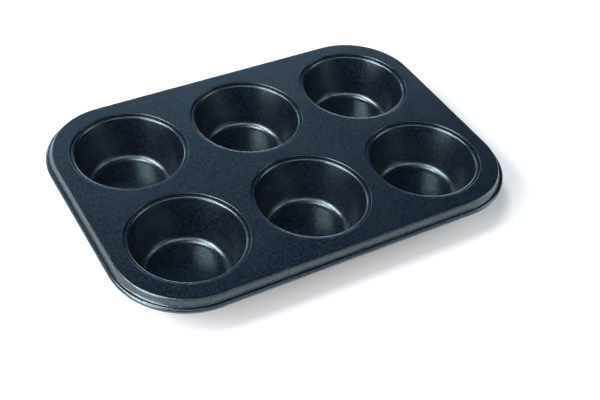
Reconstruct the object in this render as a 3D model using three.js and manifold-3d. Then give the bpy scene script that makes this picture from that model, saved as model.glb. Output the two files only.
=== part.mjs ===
// Muffin pan with two rows of three cups, in pressed and coated sheet steel.
// The top sheet has its edge rolled round a wire. Each drawn cup hangs by its curled lip,
// which is seamed over an upturned collar in a gutter round its opening in the top sheet.
// Sizes are in millimetres, +Z is up, and +X runs along the rows of cups.
// The origin is on the table under the middle of the pan.
import * as THREE from 'three';
import { mergeVertices } from 'three/addons/utils/BufferGeometryUtils.js';
import Module from 'manifold-3d';

const wasm = await Module();
wasm.setup();

// The sheet that every pressed piece is made of.
const SHEET_THICKNESS = 0.5;

// The cups, named by row and column as seen from the front.
const CUP_ROWS = ['front', 'back'];
const CUP_COLUMNS = ['left', 'middle', 'right'];
const PAN_HEIGHT = 30;          // from the table to the top of the deck
const MOUTH_DIAMETER = 67;      // inside the lip, at its narrowest
const BASE_DIAMETER = 51.6;     // inside, where the wall would meet the floor in a sharp corner
const FLOOR_FILLET = 5.5;       // inside radius between wall and floor
const LIP_DROP = 1.1;           // from the top of the deck down to the crest of the lip

// The seam that holds a cup in the top sheet.
const SEAM_GAP = 0.4;           // between the three layers of the seam
const SEAM_LEG = 0.9;           // straight part of the lip, outside the collar
const GUTTER_GAP = 0.3;         // from the lip to the gutter's wall and floor
const GUTTER_BEND = 0.3;        // inside radius where the deck turns down into the gutter

// The flat deck between and around the gutters.
const WEB_X = 8.5;              // between neighbouring cups of a row
const WEB_Y = 9.3;              // between the two rows
const BORDER_X = 8.3;           // at the short sides, out to the rim's bend
const BORDER_Y = 9.05;          // at the long sides
const CORNER_RADIUS = 47.2;     // outside of the rolled rim, seen from above

// The rim: a bend, a short skirt, a groove, and a bead rolled round the wire.
const RIM_BEND = 0.8;           // inside radius where the deck turns down into the skirt
const SKIRT_LENGTH = 2.9;       // straight part of the skirt, along its slope
const SKIRT_DRAFT = 18;         // degrees that the skirt leans outwards
const GROOVE_RADIUS = 1.2;      // hollow between skirt and bead
const WIRE_DIAMETER = 2;
const WIRE_GAP = 0.25;          // between the wire and the sheet rolled round it
const CURL_SWEEP = 300;         // degrees of the wire that the bead covers

// How finely curves are faceted.
const CUP_FACETS = 28;          // round a cup and its gutter
const OPENING_FACETS = 14;      // round the deck's openings, under the gutters' flanges
const CORNER_FACETS = 8;        // round each corner of the rim
const WIRE_FACETS = 8;          // round the wire's section
const BEAD_FACETS = 9;          // round the bead's section
const FILLET_FACETS = 3;        // in the floor's fillet
const LIP_FACETS = 4;           // over the lip
const BEND_FACETS = 2;          // in each small bend of the sheet
const FLANGE = 2.6;             // flat of a gutter or rim that is joined into the deck
const FLANGE_COVER = FLANGE / 2;

// Sizes of the seam, measured from a cup's own axis and from the table.
const lipRadius = 1.5 * SHEET_THICKNESS + SEAM_GAP;
const lipInside = lipRadius - SHEET_THICKNESS;
const lipAxisRadius = MOUTH_DIAMETER / 2 + lipRadius;
const lipAxisHeight = PAN_HEIGHT - LIP_DROP - lipRadius;
const legBottom = lipAxisHeight - SEAM_LEG;
const ledgeTop = legBottom - GUTTER_GAP;
const riserRadius = lipAxisRadius + lipRadius + GUTTER_GAP;
const gutterBendOutside = GUTTER_BEND + SHEET_THICKNESS;
const gutterRadius = riserRadius + gutterBendOutside;

// Sizes of the rim.
const draft = THREE.MathUtils.degToRad(SKIRT_DRAFT);
const rimBendOutside = RIM_BEND + SHEET_THICKNESS;
const beadInside = WIRE_DIAMETER / 2 + WIRE_GAP;
const beadRadius = beadInside + SHEET_THICKNESS;
const rimReach = beadRadius + SKIRT_LENGTH * Math.sin(draft)
  + (GROOVE_RADIUS + rimBendOutside) * Math.cos(draft);
const rimDepth = 2 * beadRadius + SKIRT_LENGTH * Math.cos(draft)
  + (GROOVE_RADIUS + rimBendOutside) * (1 - Math.sin(draft));

// The plan of the pan. Corner centres are where the rim's corners turn.
const pitchX = 2 * gutterRadius + WEB_X;
const pitchY = 2 * gutterRadius + WEB_Y;
const halfLength = pitchX * (CUP_COLUMNS.length - 1) / 2 + gutterRadius + BORDER_X + rimReach;
const halfWidth = pitchY * (CUP_ROWS.length - 1) / 2 + gutterRadius + BORDER_Y + rimReach;
const cornerX = halfLength - CORNER_RADIUS;
const cornerY = halfWidth - CORNER_RADIUS;
const deckCornerRadius = CORNER_RADIUS - rimReach;

// The steel is coated black-blue with a satin sheen; the wire inside the rim is bare.
const coating = { color: 0x27313a, roughness: 0.42, metalness: 0.1 };
const bareSteel = { color: 0x9a9da0, roughness: 0.35, metalness: 1 };

// Points of an arc about a centre, from one angle to another, in degrees.
function arc(centre, radius, fromDegrees, toDegrees, facets) {
  const from = THREE.MathUtils.degToRad(fromDegrees);
  const to = THREE.MathUtils.degToRad(toDegrees);
  const curve = new THREE.EllipseCurve(centre.x, centre.y, radius, radius, from, to, to < from);
  return curve.getPoints(facets);
}

// A solid for joining, from a closed geometry whose shared corners are merged first.
function toSolid(geometry) {
  geometry.deleteAttribute('normal');
  geometry.deleteAttribute('uv');
  const merged = mergeVertices(geometry);
  const corners = merged.index.array;
  const triangles = [];
  for (let i = 0; i < corners.length; i += 3) {
    const [a, b, c] = corners.slice(i, i + 3);
    if (a !== b && b !== c && c !== a) {
      triangles.push(a, b, c);
    }
  }
  return new wasm.Manifold(new wasm.Mesh({
    numProp: 3,
    vertProperties: merged.attributes.position.array,
    triVerts: new Uint32Array(triangles),
  }));
}

// A named mesh with its own material, from a solid.
function toMesh(name, solid, finish) {
  const { vertProperties, triVerts } = solid.getMesh();
  const geometry = new THREE.BufferGeometry();
  geometry.setAttribute('position', new THREE.BufferAttribute(vertProperties, 3));
  geometry.setIndex(new THREE.BufferAttribute(triVerts, 1));
  geometry.computeVertexNormals();
  const mesh = new THREE.Mesh(geometry, new THREE.MeshStandardMaterial(finish));
  mesh.name = name;
  return mesh;
}

// Turns a section of radius and height about the Z axis. A section keeps the metal on its right,
// and a lathe wants it on the left, so the points are taken from the end.
function revolve(section, facets) {
  const geometry = new THREE.LatheGeometry([...section].reverse(), facets);
  geometry.rotateX(Math.PI / 2);
  return geometry;
}

// Runs a section round the rim: a turned ring is parted into quarters, one for each corner,
// and its facets between the quarters stretch into the straight sides.
function runRoundRim(section) {
  const facets = 4 * CORNER_FACETS;
  const halfFacet = Math.PI / facets;
  const widened = section.map((point) => new THREE.Vector2(point.x / Math.cos(halfFacet), point.y));
  const ring = revolve(widened, facets);
  ring.rotateZ(halfFacet);
  const position = ring.attributes.position;
  for (let i = 0; i < position.count; i += 1) {
    const x = position.getX(i);
    const y = position.getY(i);
    position.setX(i, x + Math.sign(x) * cornerX);
    position.setY(i, y + Math.sign(y) * cornerY);
  }
  return toSolid(ring);
}

// Where each cup stands, with its name.
function cupPlaces() {
  const places = [];
  CUP_ROWS.forEach((row, rowIndex) => {
    CUP_COLUMNS.forEach((column, columnIndex) => {
      places.push({
        name: `cup_${row}_${column}`,
        x: (columnIndex - (CUP_COLUMNS.length - 1) / 2) * pitchX,
        y: (rowIndex - (CUP_ROWS.length - 1) / 2) * pitchY,
      });
    });
  });
  return places;
}

// A drawn cup: flat floor, rounded corner, tapered wall, and a lip curled outwards and down.
// The wall runs up from the base corner and meets the lip's curl without a kink.
function cupSolid() {
  const baseCorner = new THREE.Vector2(BASE_DIAMETER / 2, SHEET_THICKNESS);
  const lipAxis = new THREE.Vector2(lipAxisRadius, lipAxisHeight);
  const toLip = lipAxis.clone().sub(baseCorner);
  const lean = Math.atan2(toLip.x, toLip.y) - Math.asin(lipRadius / toLip.length());
  const leanDegrees = THREE.MathUtils.radToDeg(lean);
  const filletReach = FLOOR_FILLET / Math.tan(Math.PI / 4 + lean / 2);
  const filletAxis = new THREE.Vector2(baseCorner.x - filletReach, baseCorner.y + FLOOR_FILLET);
  const filletOutside = FLOOR_FILLET + SHEET_THICKNESS;
  const legOutside = lipAxisRadius + lipRadius;
  const section = [
    new THREE.Vector2(0, SHEET_THICKNESS),
    ...arc(filletAxis, FLOOR_FILLET, -90, -leanDegrees, FILLET_FACETS),
    ...arc(lipAxis, lipRadius, 180 - leanDegrees, 0, LIP_FACETS),
    new THREE.Vector2(legOutside, legBottom),
    new THREE.Vector2(legOutside - SHEET_THICKNESS, legBottom),
    ...arc(lipAxis, lipInside, 0, 180 - leanDegrees, LIP_FACETS - 1),
    ...arc(filletAxis, filletOutside, -leanDegrees, -90, FILLET_FACETS - 1),
    new THREE.Vector2(0, 0),
  ];
  return toSolid(revolve(section, CUP_FACETS));
}

// The gutter pressed round an opening: the deck turns down, runs in below the lip as a ledge,
// and ends in the upturned collar that the lip is seamed over.
function gutterSolid(place) {
  const bendAxis = new THREE.Vector2(gutterRadius, PAN_HEIGHT - gutterBendOutside);
  const collarInside = lipAxisRadius - SHEET_THICKNESS / 2;
  const collarOutside = lipAxisRadius + SHEET_THICKNESS / 2;
  const ledgeUnderside = ledgeTop - SHEET_THICKNESS;
  const flangeEdge = gutterRadius + FLANGE;
  const section = [
    new THREE.Vector2(collarInside, ledgeUnderside),
    new THREE.Vector2(collarInside, lipAxisHeight),
    new THREE.Vector2(collarOutside, lipAxisHeight),
    new THREE.Vector2(collarOutside, ledgeTop),
    new THREE.Vector2(riserRadius, ledgeTop),
    ...arc(bendAxis, gutterBendOutside, 180, 90, BEND_FACETS),
    new THREE.Vector2(flangeEdge, PAN_HEIGHT),
    new THREE.Vector2(flangeEdge, PAN_HEIGHT - SHEET_THICKNESS),
    ...arc(bendAxis, GUTTER_BEND, 90, 180, BEND_FACETS - 1),
    new THREE.Vector2(riserRadius + SHEET_THICKNESS, ledgeUnderside),
    new THREE.Vector2(collarInside, ledgeUnderside),
  ];
  const ring = revolve(section, CUP_FACETS);
  ring.translate(place.x, place.y, 0);
  return toSolid(ring);
}

// Middle of the rolled bead's section, measured from a corner's centre.
const beadAxis = new THREE.Vector2(CORNER_RADIUS - beadRadius, PAN_HEIGHT - rimDepth + beadRadius);

// The rim's sheet, followed along its upper side from deck to curl and back along its lower side.
function rimSolid() {
  const bendAxis = new THREE.Vector2(deckCornerRadius, PAN_HEIGHT - rimBendOutside);
  const grooveAxis = new THREE.Vector2(beadAxis.x, beadAxis.y + beadRadius + GROOVE_RADIUS);
  const grooveOutside = GROOVE_RADIUS + SHEET_THICKNESS;
  const curlEnd = 90 - CURL_SWEEP;
  const skirtStart = 180 + SKIRT_DRAFT;
  const flangeEdge = deckCornerRadius - FLANGE;
  const section = [
    new THREE.Vector2(flangeEdge, PAN_HEIGHT),
    ...arc(bendAxis, rimBendOutside, 90, SKIRT_DRAFT, BEND_FACETS + 1),
    ...arc(grooveAxis, GROOVE_RADIUS, skirtStart, 270, BEND_FACETS),
    ...arc(beadAxis, beadRadius, 90, curlEnd, BEAD_FACETS).slice(1),
    ...arc(beadAxis, beadInside, curlEnd, 90, BEAD_FACETS - 1),
    ...arc(grooveAxis, grooveOutside, 270, skirtStart, BEND_FACETS).slice(1),
    ...arc(bendAxis, RIM_BEND, SKIRT_DRAFT, 90, BEND_FACETS),
    new THREE.Vector2(flangeEdge, PAN_HEIGHT - SHEET_THICKNESS),
    new THREE.Vector2(flangeEdge, PAN_HEIGHT),
  ];
  return runRoundRim(section);
}

// The flat deck, inside the rim's bend and around the openings.
function deckSolid(places) {
  const radius = deckCornerRadius - FLANGE_COVER;
  const outline = new THREE.Shape();
  outline.absarc(cornerX, cornerY, radius, 0, Math.PI / 2);
  outline.absarc(-cornerX, cornerY, radius, Math.PI / 2, Math.PI);
  outline.absarc(-cornerX, -cornerY, radius, Math.PI, 1.5 * Math.PI);
  outline.absarc(cornerX, -cornerY, radius, 1.5 * Math.PI, 2 * Math.PI);
  const openingRadius = gutterRadius + FLANGE_COVER;
  outline.holes = places.map((place) => {
    const centre = new THREE.Vector2(place.x, place.y);
    return new THREE.Path(arc(centre, openingRadius, 0, 360, OPENING_FACETS));
  });
  const sheet = new THREE.ExtrudeGeometry(outline, {
    depth: SHEET_THICKNESS,
    bevelEnabled: false,
    curveSegments: CORNER_FACETS / 2,
  });
  sheet.translate(0, 0, PAN_HEIGHT - SHEET_THICKNESS);
  return toSolid(sheet);
}

// The top sheet is one pressing: deck, gutters and rolled rim.
function topSheetSolid(places) {
  const gutters = places.map(gutterSolid);
  return gutters.reduce((sheet, gutter) => sheet.add(gutter), deckSolid(places).add(rimSolid()));
}

// The wire that stiffens the rim, one closed loop inside the bead.
function wireSolid() {
  return runRoundRim(arc(beadAxis, WIRE_DIAMETER / 2, 360, 0, WIRE_FACETS));
}

const pan = new THREE.Group();
const places = cupPlaces();
pan.add(toMesh('top_sheet', topSheetSolid(places), coating));
pan.add(toMesh('rim_wire', wireSolid(), bareSteel));
for (const place of places) {
  const cup = toMesh(place.name, cupSolid(), coating);
  cup.position.set(place.x, place.y, 0);
  pan.add(cup);
}

export default pan;
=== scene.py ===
# A six-cup muffin pan of pressed sheet steel with a blue-black nonstick coating.
# The top sheet, the six drawn cups and the wire in the rolled rim are drawn here with every
# bend of the sheet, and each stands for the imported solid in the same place.
# Shapes are drawn in millimetres and brought to metres when a piece is finished.
from math import asin, atan2, cos, degrees, hypot, pi, radians, sin, tan

import bmesh
import bpy
from mathutils import Matrix, Vector


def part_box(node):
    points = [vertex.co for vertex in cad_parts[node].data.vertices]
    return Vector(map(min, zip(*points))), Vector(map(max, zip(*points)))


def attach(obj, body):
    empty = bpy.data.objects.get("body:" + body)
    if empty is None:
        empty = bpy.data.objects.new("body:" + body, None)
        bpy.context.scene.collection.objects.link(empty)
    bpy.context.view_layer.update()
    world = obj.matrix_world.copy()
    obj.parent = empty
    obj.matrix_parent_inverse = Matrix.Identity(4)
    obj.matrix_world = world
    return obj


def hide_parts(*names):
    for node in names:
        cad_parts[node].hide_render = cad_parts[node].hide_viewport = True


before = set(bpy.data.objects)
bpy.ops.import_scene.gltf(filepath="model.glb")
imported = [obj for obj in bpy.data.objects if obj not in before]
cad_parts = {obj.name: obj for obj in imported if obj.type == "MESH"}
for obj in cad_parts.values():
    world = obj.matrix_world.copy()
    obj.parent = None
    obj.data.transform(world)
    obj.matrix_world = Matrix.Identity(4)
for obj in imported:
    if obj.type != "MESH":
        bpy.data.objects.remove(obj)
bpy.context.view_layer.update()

MM = 0.001
MERGE = 0.001                   # corners closer than this are one corner
LEVEL = 0.999                   # share of a normal that points up or down where a face is level
UP = Vector((0, 0, 1))

# The sheet that every pressed piece is made of.
SHEET = 0.5

# The cups, named by row and column as seen from the front.
CUP_ROWS = ("front", "back")
CUP_COLUMNS = ("left", "middle", "right")
MOUTH_DIAMETER = 67.0           # inside the lip, at its narrowest
BASE_DIAMETER = 51.6            # inside, where wall and floor would meet in a sharp corner
FLOOR_FILLET = 5.5              # inside radius between wall and floor
LIP_DROP = 1.0                  # from the top of the deck down to the crest of the lip

# The seam that holds a cup in the top sheet.
LIP_WIDTH = 2.6                 # from the inside of the lip to its outside
LIP_RADIUS = 1.7                # outside of the lip's curl, from the wall up to its crest
LIP_FOLD = 0.55                 # outside radius where the crest folds down into the gutter
SEAM_LEG = 0.75                 # straight part of the lip, outside the collar
GUTTER_GAP = 0.1                # from the lip to the gutter's wall and floor, pressed nearly shut
GUTTER_BEND = 0.55              # outside radius where the deck turns down into the gutter
LEDGE_BEND = 0.2                # inside radius at both sides of the gutter's floor

# The rolled rim, from the deck's edge to the end of the curl.
CORNER_RADIUS = 47.2            # outside of the rim, seen from above
RIM_BEND = 0.8                  # inside radius where the deck turns down into the skirt
SKIRT_LENGTH = 2.9              # straight part of the skirt, along its slope
SKIRT_DRAFT = 18                # degrees that the skirt leans outwards
GROOVE_RADIUS = 1.2             # hollow between skirt and bead
WIRE_DIAMETER = 2.0
WIRE_GAP = 0.25                 # between the wire and the sheet rolled round it
CURL_SWEEP = 300                # degrees of the wire that the bead covers

# How finely curves are drawn.
CUP_STEPS = 112                 # round a cup and its gutter
CORNER_STEPS = 32               # round each corner of the rim
FILLET_STEPS = 10
LIP_STEPS = 14
BEND_STEPS = 6
BEAD_STEPS = 30
WIRE_STEPS = 20
FLAT_EDGE = 0.8                 # strip of flat sheet kept beside a bend, so that flats shade flat
SHARP_ANGLE = 40                # degrees, past which an edge is a cut edge of the sheet

# The camera, as the photograph was taken: where it looks, from where, and how far it is tilted.
VIEW_TARGET = (-17.35, -28.86, 30.0)
VIEW_AZIMUTH = -32.783
VIEW_ELEVATION = 42.465
VIEW_DISTANCE = 628.32
VIEW_ROLL = 5.348
VIEW_LENS = 62.61
VIEW_SHIFT = (0.04, -0.01667)   # the photograph's frame is not quite centred on the lens
SENSOR_WIDTH = 36.0
NEAR_CLIP = 10.0

# The studio: a light table, a dim room, a glowing backdrop low behind the pan, and softboxes.
TABLE_RADIUS = 6000.0
TABLE_STEPS = 96
TABLE_DROP = 0.05               # keeps the table's face just clear of the cups' bases
TABLE_GLOW = 0.10               # light that the table gives out, against 1 for plain white
ROOM_LIGHT = (0.0, 0.02, 0.05, 1)
BACKDROP_LIGHT = (0.51, 0.76, 1.00, 1)
BACKDROP_DIRECTION = (0.08, 0.82, -0.18)
BACKDROP_EDGE = 0.43            # cosine of the angle from that direction where its glow begins
BACKDROP_CORE = 0.75            # and where its glow is full
# Each softbox: azimuth from the back towards the right, elevation, size in metres, radiance, colour.
# The two lip softboxes are narrow and stand low, where the cups' lips mirror them to the camera.
SOFTBOX_DISTANCE = 3.0
SOFTBOXES = {
    "key_softbox": (255, 25, (1.9, 2.4), 9.0, "ecf4ff"),
    "top_softbox": (273, 69, (1.1, 0.8), 17.0, "eef8ff"),
    "fill_softbox": (119, 24, (1.5, 2.4), 2.8, "f1f5fc"),
    "strip_softbox": (285, 41, (1.9, 0.8), 16.0, "f6f8fa"),
    "front_softbox": (186, 46, (3.2, 1.0), 3.0, "eef4fa"),
    "near_lip_softbox": (33, 9, (1.1, 0.7), 6.2, "dfe6ff"),
    "right_lip_softbox": (347, 9, (0.8, 0.7), 6.2, "dfe6ff"),
}

# Sizes of the pan as it was packed.
half_length, half_width, pan_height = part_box("top_sheet")[1] / MM

# Sizes of the seam, measured from a cup's own axis and from the table.
lip_axis_radius = MOUTH_DIAMETER / 2 + LIP_RADIUS
lip_axis_height = pan_height - LIP_DROP - LIP_RADIUS
leg_radius = MOUTH_DIAMETER / 2 + LIP_WIDTH
collar_top = pan_height - LIP_DROP - LIP_WIDTH / 2
leg_bottom = collar_top - SEAM_LEG
ledge_top = leg_bottom - GUTTER_GAP
collar_radius = leg_radius - LIP_WIDTH / 2 + SHEET / 2
riser_radius = leg_radius + GUTTER_GAP
gutter_radius = riser_radius + GUTTER_BEND

# Sizes of the rim, measured from a corner's centre and from the table.
draft = radians(SKIRT_DRAFT)
rim_bend = RIM_BEND + SHEET
bead_radius = WIRE_DIAMETER / 2 + WIRE_GAP + SHEET
bends_run = GROOVE_RADIUS + rim_bend
rim_reach = bead_radius + SKIRT_LENGTH * sin(draft) + bends_run * cos(draft)
rim_depth = 2 * bead_radius + SKIRT_LENGTH * cos(draft) + bends_run * (1 - sin(draft))
bead_height = pan_height - rim_depth + bead_radius
corner_x = half_length - CORNER_RADIUS
corner_y = half_width - CORNER_RADIUS


def linear(hex_colour):
    """The linear colour of an sRGB hex value."""
    values = [int(hex_colour[i:i + 2], 16) / 255 for i in (0, 2, 4)]
    return [v / 12.92 if v <= 0.04045 else ((v + 0.055) / 1.055) ** 2.4 for v in values] + [1]


def node(tree, kind, settings=None, **sockets):
    """Adds a node. A socket is given a value, or another node's output to be linked to."""
    made = tree.nodes.new(kind)
    for name, value in (settings or {}).items():
        setattr(made, name, value)
    for name, value in sockets.items():
        socket = made.inputs[name.replace("_", " ")]
        if isinstance(value, bpy.types.NodeSocket):
            tree.links.new(value, socket)
        else:
            socket.default_value = value
    return made


def blend(tree, factor, low, high):
    """A colour that goes from one to another as the factor goes from 0 to 1."""
    mix = node(tree, "ShaderNodeMix", {"data_type": "RGBA"}, Factor=factor)
    from_colour, to_colour = (socket for socket in mix.inputs if socket.type == "RGBA")
    from_colour.default_value = low
    to_colour.default_value = high
    return next(socket for socket in mix.outputs if socket.type == "RGBA")


def new_material(name):
    """A material with an empty node tree, and that tree."""
    material = bpy.data.materials.new(name)
    material.use_nodes = True
    tree = material.node_tree
    tree.nodes.clear()
    return material, tree


# Sprayed and baked nonstick enamel on steel. The film is blue-black and satin: a dark body
# colour, a soft broad sheen that brightens at grazing angles, and a faint spray grain.
def nonstick_coating():
    material, tree = new_material("sprayed_nonstick_coating")
    place = node(tree, "ShaderNodeTexCoord").outputs["Object"]
    # Spray droplets dry 0.2 to 0.4 mm across. They are drawn three times as coarse, to show.
    droplets = node(tree, "ShaderNodeTexNoise", Vector=place, Scale=1 / (1.1 * MM), Detail=2.0)
    # The film's thickness drifts over a few centimetres, as the spray gun passed.
    drift = node(tree, "ShaderNodeTexNoise", Vector=place, Scale=1 / (38 * MM), Detail=2.0)
    # Orange peel: the film's own gentle ripple, 2 to 3 mm from crest to crest.
    ripple = node(tree, "ShaderNodeTexNoise", Vector=place, Scale=1 / (2.6 * MM), Detail=1.0)
    # The thickest droplets dry paler, so that flats look finely speckled.
    speckle = node(
        tree, "ShaderNodeMapRange", Value=droplets.outputs["Fac"], From_Min=0.42, From_Max=0.70,
    )
    colour = blend(tree, speckle.outputs["Result"], linear("000106"), linear("141b28"))
    # Where droplets overlap, the film lies closer and shines more.
    shine = node(
        tree, "ShaderNodeMapRange", Value=droplets.outputs["Fac"],
        From_Min=0.3, From_Max=0.7, To_Min=0.38, To_Max=0.62,
    )
    gloss = node(
        tree, "ShaderNodeMapRange", Value=drift.outputs["Fac"],
        From_Min=0.3, From_Max=0.7, To_Min=0.24, To_Max=0.30,
    )
    peel = node(
        tree, "ShaderNodeBump", Strength=0.15, Distance=0.02 * MM, Height=ripple.outputs["Fac"],
    )
    grain = node(
        tree, "ShaderNodeBump", Strength=0.2, Distance=0.012 * MM,
        Height=droplets.outputs["Fac"], Normal=peel.outputs["Normal"],
    )
    film = node(
        tree, "ShaderNodeBsdfPrincipled", Base_Color=colour, Roughness=gloss.outputs["Result"],
        IOR=1.8, Specular_IOR_Level=shine.outputs["Result"], Specular_Tint=linear("e7fdff"),
        Normal=grain.outputs["Normal"],
    )
    node(tree, "ShaderNodeOutputMaterial", Surface=film.outputs["BSDF"])
    return material


# Drawn mild steel wire, left bare inside the rim: grey metal, dulled by the oven.
def steel_wire():
    material, tree = new_material("drawn_steel_wire")
    place = node(tree, "ShaderNodeTexCoord").outputs["Object"]
    dulling = node(tree, "ShaderNodeTexNoise", Vector=place, Scale=1 / (4 * MM), Detail=3.0)
    colour = blend(tree, dulling.outputs["Fac"], linear("8d8c89"), linear("b4b3af"))
    gloss = node(
        tree, "ShaderNodeMapRange", Value=dulling.outputs["Fac"], To_Min=0.28, To_Max=0.46,
    )
    metal = node(
        tree, "ShaderNodeBsdfPrincipled", Base_Color=colour, Metallic=1.0,
        Roughness=gloss.outputs["Result"],
    )
    node(tree, "ShaderNodeOutputMaterial", Surface=metal.outputs["BSDF"])
    return material


# Opal acrylic of a light table: matt white, and lit from below, so that shadows on it stay pale.
def opal_acrylic():
    material, tree = new_material("opal_acrylic")
    place = node(tree, "ShaderNodeTexCoord").outputs["Object"]
    cloud = node(tree, "ShaderNodeTexNoise", Vector=place, Scale=1 / (60 * MM), Detail=3.0)
    colour = blend(tree, cloud.outputs["Fac"], linear("e6e3df"), linear("eae7e3"))
    sheet = node(
        tree, "ShaderNodeBsdfPrincipled", Base_Color=colour, Roughness=0.9, IOR=1.1,
        Emission_Color=linear("ffe9d4"), Emission_Strength=TABLE_GLOW,
    )
    node(tree, "ShaderNodeOutputMaterial", Surface=sheet.outputs["BSDF"])
    return material


def line_to(bm, tip, x, z):
    """Draws a section straight on from its last corner, and gives the new one."""
    corner = bmesh.ops.extrude_vert_indiv(bm, verts=[tip])["verts"][0]
    corner.co = (x, tip.co.y, z)
    return corner


def bend_to(bm, tip, axis_x, axis_z, angle, steps):
    """Bends a section on about an axis, clockwise where the angle in degrees is positive."""
    turned = bmesh.ops.spin(
        bm, geom=[tip], cent=(axis_x, tip.co.y, axis_z), axis=(0, 1, 0), dvec=(0, 0, 0),
        angle=radians(angle), steps=steps, use_duplicate=False,
    )
    return turned["geom_last"][0]


def turn_full(bm, section, x, y):
    """Turns a section all the way round an upright axis."""
    bmesh.ops.spin(
        bm, geom=section, cent=(x, y, 0), axis=UP, dvec=(0, 0, 0),
        angle=2 * pi, steps=CUP_STEPS, use_merge=True, use_duplicate=False,
    )


def run_round_rim(bm, section):
    """Runs a section that is drawn at the middle of the right side all round the pan."""
    def push(edges, move):
        pushed = bmesh.ops.extrude_edge_only(bm, edges=edges)["geom"]
        corners = [g for g in pushed if isinstance(g, bmesh.types.BMVert)]
        bmesh.ops.translate(bm, vec=move, verts=corners)
        return corners + [g for g in pushed if isinstance(g, bmesh.types.BMEdge)]

    start = push([g for g in section if isinstance(g, bmesh.types.BMEdge)], (0, corner_y, 0))
    turned = bmesh.ops.spin(
        bm, geom=start, cent=(corner_x, corner_y, 0), axis=UP, dvec=(0, 0, 0),
        angle=pi / 2, steps=CORNER_STEPS, use_duplicate=False,
    )["geom_last"]
    push([g for g in turned if isinstance(g, bmesh.types.BMEdge)], (-corner_x, 0, 0))
    for axis in "XY":
        whole = bm.verts[:] + bm.edges[:] + bm.faces[:]
        bmesh.ops.mirror(bm, geom=whole, axis=axis, merge_dist=MERGE)


def draw_rim(bm):
    """The rim's upper side: the deck's edge, bend, skirt, groove, and bead."""
    bend_x = half_length - rim_reach
    bead_x = half_length - bead_radius
    groove_height = bead_height + bead_radius + GROOVE_RADIUS
    tip = bmesh.ops.create_vert(bm, co=(bend_x - FLAT_EDGE, 0, pan_height))["vert"][0]
    tip = line_to(bm, tip, bend_x, pan_height)
    tip = bend_to(bm, tip, bend_x, pan_height - rim_bend, 90 - SKIRT_DRAFT, BEND_STEPS)
    groove_x = bead_x - GROOVE_RADIUS * cos(draft)
    groove_z = groove_height - GROOVE_RADIUS * sin(draft)
    tip = line_to(bm, tip, groove_x, groove_z)
    tip = bend_to(bm, tip, bead_x, groove_height, SKIRT_DRAFT - 90, BEND_STEPS)
    bend_to(bm, tip, bead_x, bead_height, CURL_SWEEP, BEAD_STEPS)
    run_round_rim(bm, bm.verts[:] + bm.edges[:])


def draw_gutter(bm, x, y):
    """The gutter round an opening, from the top of its collar out to the deck."""
    known = set(bm.verts)
    known_edges = set(bm.edges)
    tip = bmesh.ops.create_vert(bm, co=(x + collar_radius, y, collar_top))["vert"][0]
    ledge_axis = ledge_top + LEDGE_BEND
    tip = line_to(bm, tip, x + collar_radius, ledge_axis)
    tip = bend_to(bm, tip, x + collar_radius + LEDGE_BEND, ledge_axis, -90, BEND_STEPS)
    tip = line_to(bm, tip, x + riser_radius - LEDGE_BEND, ledge_top)
    tip = bend_to(bm, tip, x + riser_radius - LEDGE_BEND, ledge_axis, -90, BEND_STEPS)
    bend_axis = pan_height - GUTTER_BEND
    tip = line_to(bm, tip, x + riser_radius, bend_axis)
    tip = bend_to(bm, tip, x + gutter_radius, bend_axis, 90, BEND_STEPS)
    line_to(bm, tip, x + gutter_radius + FLAT_EDGE, pan_height)
    section = [v for v in bm.verts if v not in known]
    section += [e for e in bm.edges if e not in known_edges]
    turn_full(bm, section, x, y)


def draw_cup(bm, x, y):
    """A cup's inside: floor, fillet, tapered wall, and the lip curled over and folded down."""
    base_x = BASE_DIAMETER / 2
    across = lip_axis_radius - base_x
    rise = lip_axis_height - SHEET
    lean = atan2(across, rise) - asin(LIP_RADIUS / hypot(across, rise))
    fillet_x = base_x - FLOOR_FILLET / tan(pi / 4 + lean / 2)
    fillet_z = SHEET + FLOOR_FILLET
    slope = Vector((sin(lean), 0, cos(lean))) * FLAT_EDGE
    lip_start = Vector((
        x + lip_axis_radius - LIP_RADIUS * cos(lean), y, lip_axis_height + LIP_RADIUS * sin(lean),
    ))
    tip = bmesh.ops.create_vert(bm, co=(x, y, SHEET))["vert"][0]
    tip = line_to(bm, tip, x + fillet_x - FLAT_EDGE, SHEET)
    tip = line_to(bm, tip, x + fillet_x, SHEET)
    tip = bend_to(bm, tip, x + fillet_x, fillet_z, degrees(lean) - 90, FILLET_STEPS)
    tip = line_to(bm, tip, tip.co.x + slope.x, tip.co.z + slope.z)
    tip = line_to(bm, tip, lip_start.x - slope.x, lip_start.z - slope.z)
    tip = line_to(bm, tip, lip_start.x, lip_start.z)
    lip_turn = 90 - degrees(lean)
    tip = bend_to(bm, tip, x + lip_axis_radius, lip_axis_height, lip_turn, LIP_STEPS)
    crest = tip.co.z
    tip = line_to(bm, tip, x + leg_radius - LIP_FOLD, crest)
    tip = bend_to(bm, tip, x + leg_radius - LIP_FOLD, crest - LIP_FOLD, 90, BEND_STEPS)
    line_to(bm, tip, x + leg_radius, leg_bottom)
    turn_full(bm, bm.verts[:] + bm.edges[:], x, y)


def give_thickness(bm):
    """Makes sheet of a drawn upper side, with the metal below it."""
    bmesh.ops.remove_doubles(bm, verts=bm.verts, dist=MERGE)
    bmesh.ops.recalc_face_normals(bm, faces=bm.faces)
    flats = [face for face in bm.faces if abs(face.normal.z) > LEVEL]
    if sum(face.normal.z * face.calc_area() for face in flats) < 0:
        bmesh.ops.reverse_faces(bm, faces=bm.faces)
    bmesh.ops.solidify(bm, geom=bm.faces[:], thickness=SHEET)


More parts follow.
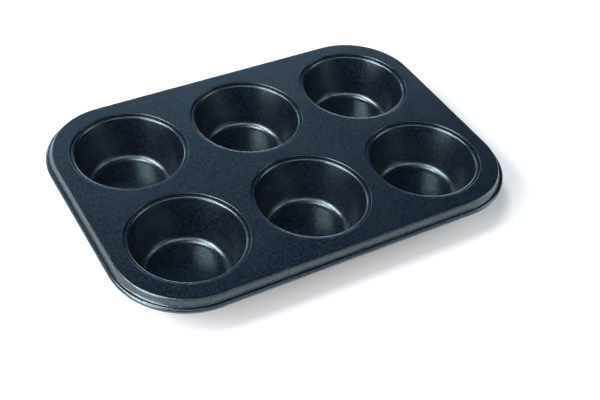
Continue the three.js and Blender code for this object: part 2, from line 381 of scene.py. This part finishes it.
def finish_piece(bm, name, solid, material):
    """Makes a drawn shape a piece of the pan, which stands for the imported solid."""
    bmesh.ops.scale(bm, vec=(MM, MM, MM), verts=bm.verts)
    for face in bm.faces:
        face.smooth = True
    mesh = bpy.data.meshes.new(name)
    bm.to_mesh(mesh)
    bm.free()
    mesh.set_sharp_from_angle(angle=radians(SHARP_ANGLE))
    mesh.materials.append(material)
    piece = bpy.data.objects.new(name, mesh)
    bpy.context.scene.collection.objects.link(piece)
    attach(piece, "root")
    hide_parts(solid)


def make_top_sheet(places, coating):
    """The top sheet, one pressing: rolled rim, gutters, and the flat deck between them."""
    bm = bmesh.new()
    draw_rim(bm)
    for x, y in places.values():
        draw_gutter(bm, x, y)
    bmesh.ops.remove_doubles(bm, verts=bm.verts, dist=MERGE)
    deck_edges = [
        edge for edge in bm.edges
        if edge.is_boundary and all(abs(v.co.z - pan_height) < MERGE for v in edge.verts)
    ]
    bmesh.ops.triangle_fill(bm, use_beauty=True, edges=deck_edges, normal=UP)
    give_thickness(bm)
    finish_piece(bm, "pressed_top_sheet", "top_sheet", coating)


def make_cup(name, x, y, coating):
    """One drawn cup, hooked by its lip over the collar of its gutter."""
    bm = bmesh.new()
    draw_cup(bm, x, y)
    give_thickness(bm)
    finish_piece(bm, f"drawn_{name}", name, coating)


def make_rim_wire(steel):
    """The wire that stiffens the rim, one closed loop inside the bead."""
    bm = bmesh.new()
    bead_centre = Vector((half_length - bead_radius, 0, bead_height))
    stand_up = Matrix.Translation(bead_centre) @ Matrix.Rotation(pi / 2, 4, "X")
    bmesh.ops.create_circle(
        bm, segments=WIRE_STEPS, radius=WIRE_DIAMETER / 2, matrix=stand_up,
    )
    run_round_rim(bm, bm.verts[:] + bm.edges[:])
    bmesh.ops.remove_doubles(bm, verts=bm.verts, dist=MERGE)
    bmesh.ops.recalc_face_normals(bm, faces=bm.faces)
    finish_piece(bm, "rim_wire_loop", "rim_wire", steel)


def cup_places():
    """Where each cup stands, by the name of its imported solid."""
    places = {}
    for row in CUP_ROWS:
        for column in CUP_COLUMNS:
            name = f"cup_{row}_{column}"
            low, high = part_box(name)
            middle = (low + high) / (2 * MM)
            places[name] = (middle.x, middle.y)
    return places


def make_floor(acrylic):
    """The table, wide enough that its edge shows only from very low down."""
    bm = bmesh.new()
    bmesh.ops.create_circle(bm, cap_ends=True, segments=TABLE_STEPS, radius=TABLE_RADIUS * MM)
    mesh = bpy.data.meshes.new("studio_floor")
    bm.to_mesh(mesh)
    bm.free()
    mesh.materials.append(acrylic)
    floor = bpy.data.objects.new("studio_floor", mesh)
    floor.location.z = -TABLE_DROP * MM
    bpy.context.scene.collection.objects.link(floor)


def make_softbox(name, azimuth, elevation, size, radiance, hex_colour):
    """A softbox that faces the middle of the pan."""
    light = bpy.data.lights.new(name, "AREA")
    light.shape = "RECTANGLE"
    light.size, light.size_y = size
    light.energy = radiance * pi * size[0] * size[1]
    light.color = linear(hex_colour)[:3]
    softbox = bpy.data.objects.new(name, light)
    reach = cos(radians(elevation))
    towards = Vector((
        sin(radians(azimuth)) * reach, cos(radians(azimuth)) * reach, sin(radians(elevation)),
    ))
    softbox.location = towards * SOFTBOX_DISTANCE
    softbox.rotation_euler = towards.to_track_quat("Z", "Y").to_euler()
    bpy.context.scene.collection.objects.link(softbox)


def make_studio():
    """A dim room with a pale glowing backdrop low behind the pan, and the softboxes."""
    world = bpy.data.worlds.new("studio")
    bpy.context.scene.world = world
    world.use_nodes = True
    tree = world.node_tree
    tree.nodes.clear()
    direction = node(tree, "ShaderNodeTexCoord").outputs["Generated"]
    nearness = node(tree, "ShaderNodeVectorMath", {"operation": "DOT_PRODUCT"})
    tree.links.new(direction, nearness.inputs[0])
    nearness.inputs[1].default_value = Vector(BACKDROP_DIRECTION).normalized()
    share = node(
        tree, "ShaderNodeMapRange", {"interpolation_type": "SMOOTHSTEP"},
        Value=nearness.outputs["Value"], From_Min=BACKDROP_EDGE, From_Max=BACKDROP_CORE,
    )
    colour = blend(tree, share.outputs["Result"], ROOM_LIGHT, BACKDROP_LIGHT)
    light = node(tree, "ShaderNodeBackground", Color=colour, Strength=1.0)
    node(tree, "ShaderNodeOutputWorld", Surface=light.outputs["Background"])
    for name, settings in SOFTBOXES.items():
        make_softbox(name, *settings)


def make_camera():
    """The photograph's camera."""
    azimuth = radians(VIEW_AZIMUTH)
    elevation = radians(VIEW_ELEVATION)
    back = Vector((sin(azimuth) * cos(elevation), -cos(azimuth) * cos(elevation), sin(elevation)))
    turn = back.to_track_quat("Z", "Y").to_matrix().to_4x4()
    roll = Matrix.Rotation(radians(VIEW_ROLL), 4, "Z")
    lens = bpy.data.cameras.new("photo_camera")
    lens.sensor_width = SENSOR_WIDTH
    lens.lens = VIEW_LENS
    lens.shift_x, lens.shift_y = VIEW_SHIFT
    lens.clip_start = NEAR_CLIP * MM
    camera = bpy.data.objects.new("photo_camera", lens)
    stand = Vector(VIEW_TARGET) + back * VIEW_DISTANCE
    camera.matrix_world = Matrix.Translation(stand * MM) @ turn @ roll
    bpy.context.scene.collection.objects.link(camera)
    bpy.context.scene.camera = camera


def make_pan():
    """The whole pan: top sheet, six cups, and the wire in the rim."""
    coating = nonstick_coating()
    places = cup_places()
    make_top_sheet(places, coating)
    for name, (x, y) in places.items():
        make_cup(name, x, y, coating)
    make_rim_wire(steel_wire())


make_camera()
make_pan()
make_floor(opal_acrylic())
make_studio()
bpy.context.scene.view_settings.view_transform = "Standard"
